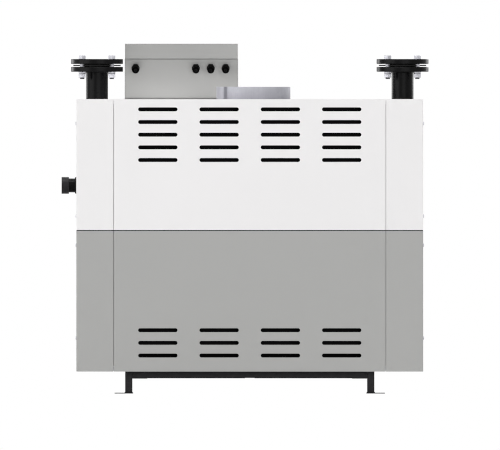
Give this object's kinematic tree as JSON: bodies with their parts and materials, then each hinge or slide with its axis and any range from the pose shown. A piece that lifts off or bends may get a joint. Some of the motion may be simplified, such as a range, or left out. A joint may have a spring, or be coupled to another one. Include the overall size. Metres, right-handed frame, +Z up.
{
  "type": "floor-standing gas boiler",
  "caption": "Floor-standing atmospheric gas boiler: two-tone vented sheet-steel casing on a tube frame, flanged water risers, flue spigot, side gas inlet and control box.",
  "frame": {"origin": "midway between the four floor-anchor holes, on the floor", "axes": "+Z up; the rear, with the flue spigot before the control box, looks towards -Y; +X to the right when facing the rear"},
  "size_m": [1.2695, 0.72, 1.21],
  "materials": {
    "white_coat": "satin white powder coat on sheet steel",
    "grey_coat": "satin light-grey powder coat on sheet steel",
    "black_frame": "satin black paint on steel tube and plate",
    "black_enamel": "gloss black enamel on pipe and flanges",
    "galvanised": "galvanised sheet, fine vertical grain",
    "dark_jacket": "matt heat-resistant black",
    "gasket_sheet": "compressed fibre gasket sheet, dark",
    "black_rubber": "matt black rubber",
    "black_plastic": "black polyamide"
  },
  "bodies": {
    "root": {"upper_rear_panel": "white_coat", "upper_front_panel": "white_coat", "upper_left_side": "white_coat", "upper_right_side": "white_coat", "top_cover": "white_coat", "lower_rear_panel": "grey_coat", "lower_front_panel": "grey_coat", "lower_left_side": "grey_coat", "lower_right_side": "grey_coat", "control_box_tray": "grey_coat", "control_box_rear_panel": "grey_coat", "control_box_fascia": "grey_coat", "control_box_lid": "grey_coat", "leg_rear_left": "black_frame", "leg_rear_right": "black_frame", "leg_front_left": "black_frame", "leg_front_right": "black_frame", "rear_rail": "black_frame", "front_rail": "black_frame", "left_rail": "black_frame", "right_rail": "black_frame", "left_heat_shield": "black_frame", "right_heat_shield": "black_frame", "corner_gussets": "black_frame", "gas_coupling": "black_frame", "left_riser": "black_enamel", "right_riser": "black_enamel", "left_counter_flange": "black_enamel", "right_counter_flange": "black_enamel", "gas_pipe": "black_enamel", "flue_spigot": "galvanised", "floor_pan": "galvanised", "post_rear_left": "galvanised", "post_rear_right": "galvanised", "post_front_left": "galvanised", "post_front_right": "galvanised", "boiler_body": "dark_jacket", "draught_hood": "dark_jacket", "rear_bearer": "dark_jacket", "front_bearer": "dark_jacket", "left_gasket": "gasket_sheet", "right_gasket": "gasket_sheet", "gas_grommet": "black_rubber", "cable_gland_1": "black_plastic", "cable_gland_2": "black_plastic", "cable_gland_3": "black_plastic", "cable_gland_4": "black_plastic"}
  },
  "joints": []
}
